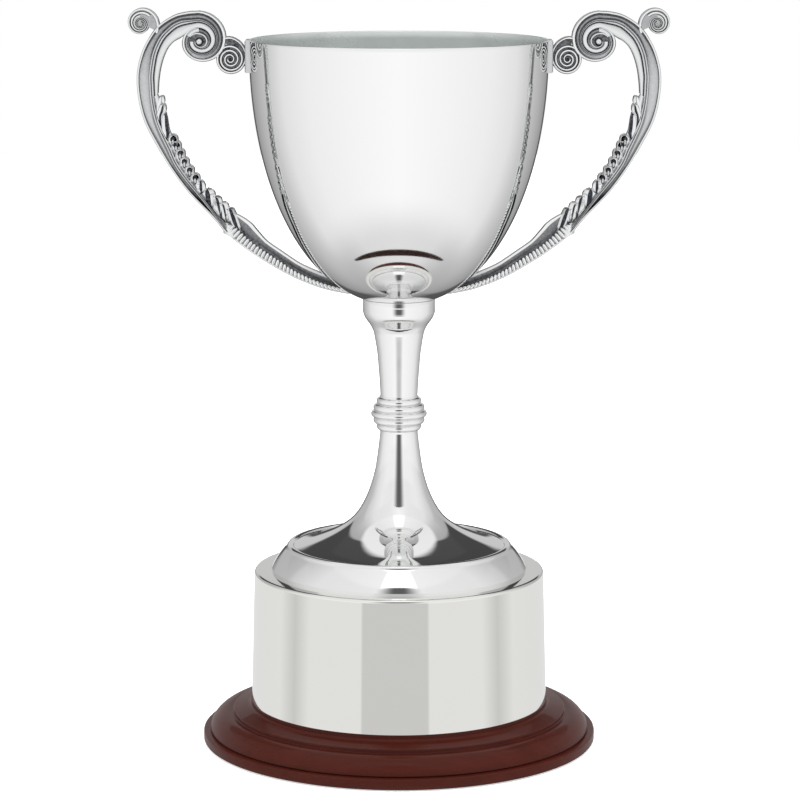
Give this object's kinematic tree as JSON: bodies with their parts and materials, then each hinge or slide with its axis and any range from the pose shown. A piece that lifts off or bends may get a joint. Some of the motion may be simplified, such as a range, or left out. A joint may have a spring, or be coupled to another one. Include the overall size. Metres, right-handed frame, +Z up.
{
  "type": "two-handled metal presentation cup",
  "caption": "Metal presentation cup: open spun bowl, scroll handles, ringed stem and trumpet foot, on a round wooden plinth with a metal band.",
  "frame": {"origin": "middle of the underside of the plinth's baize, where the cup stands", "axes": "+Z up along the turning axis, handles out along +X and -X, picture's front towards -Y"},
  "size_m": [0.2548, 0.1902, 0.354],
  "materials": {
    "bowl_metal": "bright nickel plate, satin inside",
    "cast_metal": "bright nickel plate on a relief casting, dark in the hollows",
    "stem_metal": "bright nickel plate",
    "band_metal": "bright nickel plate",
    "plinth_wood": "glossy lacquered dark red-brown mahogany",
    "baize": "matt green baize",
    "fixings": "zinc plated"
  },
  "bodies": {
    "root": {"bowl": "bowl_metal", "handle_left": "cast_metal", "handle_right": "cast_metal", "stem": "stem_metal", "knop": "stem_metal", "foot": "stem_metal", "plinth_band": "band_metal", "wooden_plinth": "plinth_wood", "baize_pad": "baize", "tie_bolt": "fixings", "tie_washer": "fixings", "tie_nut": "fixings"}
  },
  "joints": []
}
